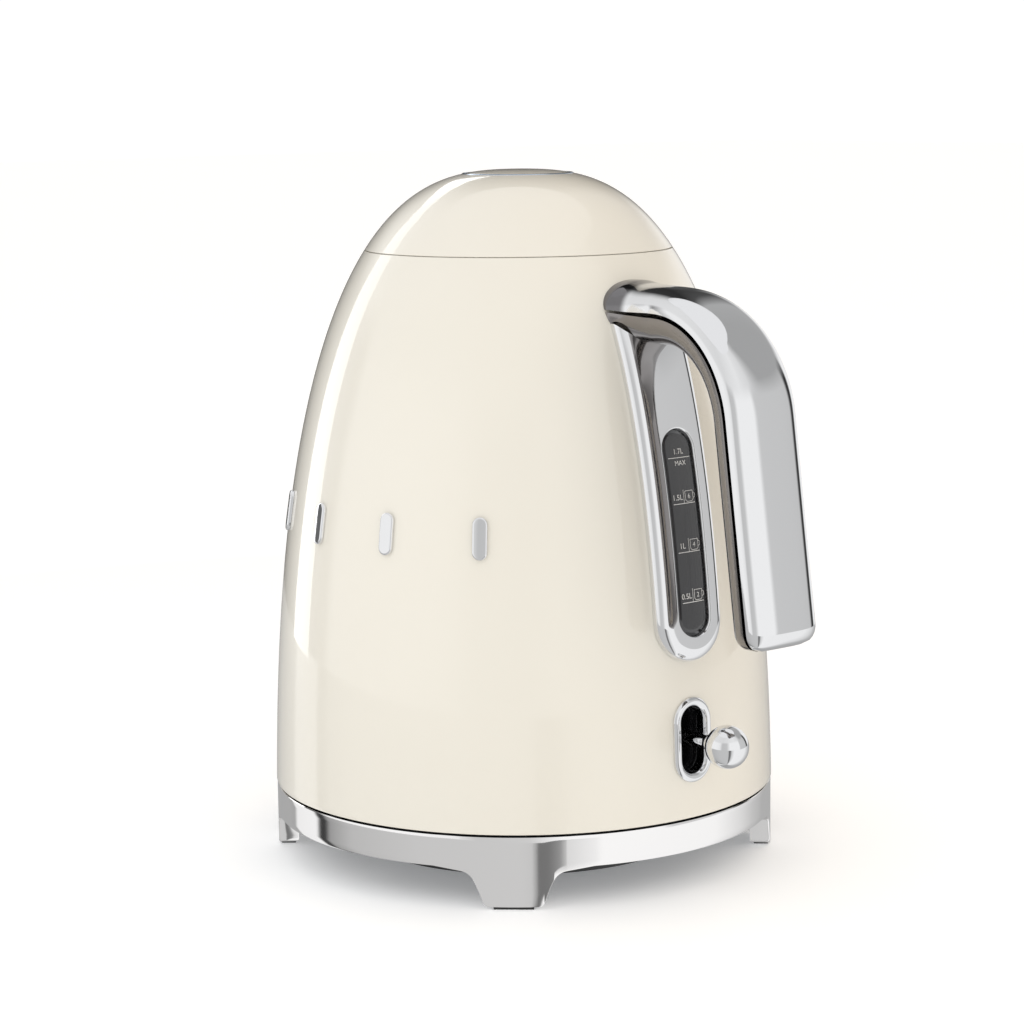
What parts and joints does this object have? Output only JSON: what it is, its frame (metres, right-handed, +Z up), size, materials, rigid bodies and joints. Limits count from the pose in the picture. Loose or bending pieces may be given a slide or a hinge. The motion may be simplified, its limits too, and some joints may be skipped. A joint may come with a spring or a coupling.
{
  "type": "electric kettle",
  "caption": "Bullet-shaped enamelled electric kettle with a bright arched handle, a strip water gauge, a ball-ended switch lever and a domed lid, standing on a round cordless power base.",
  "frame": {"origin": "on the ground, at the vertical axis of the round power base and of the kettle's body", "axes": "+Z up; +X towards the handle, the water gauge and the switch lever; the spout points along -X; Y across the kettle"},
  "size_m": [0.2226, 0.1744, 0.2364],
  "materials": {
    "enamel": "gloss",
    "chrome": "polished",
    "steel": "satin",
    "black_plastic": "satin",
    "grey_plastic": "matte",
    "smoked": "gloss",
    "white_print": "matte",
    "rubber": "matte",
    "silicone": "matte",
    "aluminium": "cast",
    "brass": "machined"
  },
  "bodies": {
    "base": {"base_skirt": "steel", "foot_pads": "rubber", "base_top_plate": "black_plastic", "base_bottom_cover": "black_plastic", "cord_winder_hub": "black_plastic", "cord_winder_flange": "black_plastic", "cord_gland": "rubber", "base_screws": "steel", "base_plug": "black_plastic", "plug_ring_contact": "brass", "plug_inner_contact": "brass", "plug_earth_pin": "steel"},
    "socket": {"kettle_socket": "black_plastic"},
    "kettle": {"spout": "chrome", "body_shell": "enamel", "bottom_housing": "black_plastic", "thermostat_control": "grey_plastic", "socket_collar": "black_plastic", "bimetal_discs": "brass", "control_studs": "steel", "heating_plate": "steel", "floor_seal": "silicone", "diffuser_plate": "aluminium", "heating_element": "aluminium", "steam_tube": "grey_plastic", "steam_tube_seal": "silicone", "switch_bezel": "chrome", "switch_recess": "black_plastic", "lever_pin": "steel", "lever_bracket": "grey_plastic", "gauge_surround": "chrome", "gauge_window": "smoked", "gauge_seal": "silicone", "gauge_marks": "white_print", "handle_grip": "chrome", "handle_inner_cover": "chrome", "handle_bracket": "steel", "handle_screws": "steel", "neck_collar": "steel", "hinge_bracket": "steel", "hinge_pin": "steel", "filter_rails": "grey_plastic", "side_studs": "chrome"},
    "lever": {"switch_lever": "black_plastic", "lever_stem": "chrome", "lever_knob": "chrome"},
    "filter": {"filter_frame": "grey_plastic", "filter_mesh": "steel"},
    "lid": {"lid_shell": "enamel", "lid_ring": "chrome", "lid_liner": "steel", "lid_seal": "silicone", "latch_housing": "grey_plastic", "lid_hinge_arms": "steel", "button_spring": "steel"},
    "button": {"lid_button": "enamel"},
    "bolt": {"latch_bolt": "grey_plastic"}
  },
  "joints": [
    {"name": "lift_off", "type": "slide", "parent": "base", "child": "socket", "axis": [0, 0, 1], "range_m": [0, 0.05]},
    {"name": "swivel", "type": "hinge", "parent": "socket", "child": "kettle", "pos_m": [0, 0, 0.03], "axis": [0, 0, 1], "continuous": true},
    {"name": "lid_hinge", "type": "hinge", "parent": "kettle", "child": "lid", "pos_m": [0.0512, 0, 0.2012], "axis": [0, 1, 0], "range_deg": [0, 70]},
    {"name": "switch_rock", "type": "hinge", "parent": "kettle", "child": "lever", "pos_m": [0.05, 0, 0.0517], "axis": [0, -1, 0], "range_deg": [-11, 11]},
    {"name": "filter_pull", "type": "slide", "parent": "kettle", "child": "filter", "axis": [1, 0, 0], "range_m": [0, 0.012]},
    {"name": "button_press", "type": "slide", "parent": "lid", "child": "button", "axis": [0, 0, -1], "range_m": [0, 0.003], "stiffness_N_per_m": 400, "springref_m": -0.002, "deforming": ["button_spring"]},
    {"name": "bolt_draw", "type": "slide", "parent": "lid", "child": "bolt", "axis": [1, 0, 0], "range_m": [0, 0.0024]}
  ],
  "couplings": [
    {"joint": "bolt_draw", "follows": "button_press", "ratio": 0.8}
  ]
}
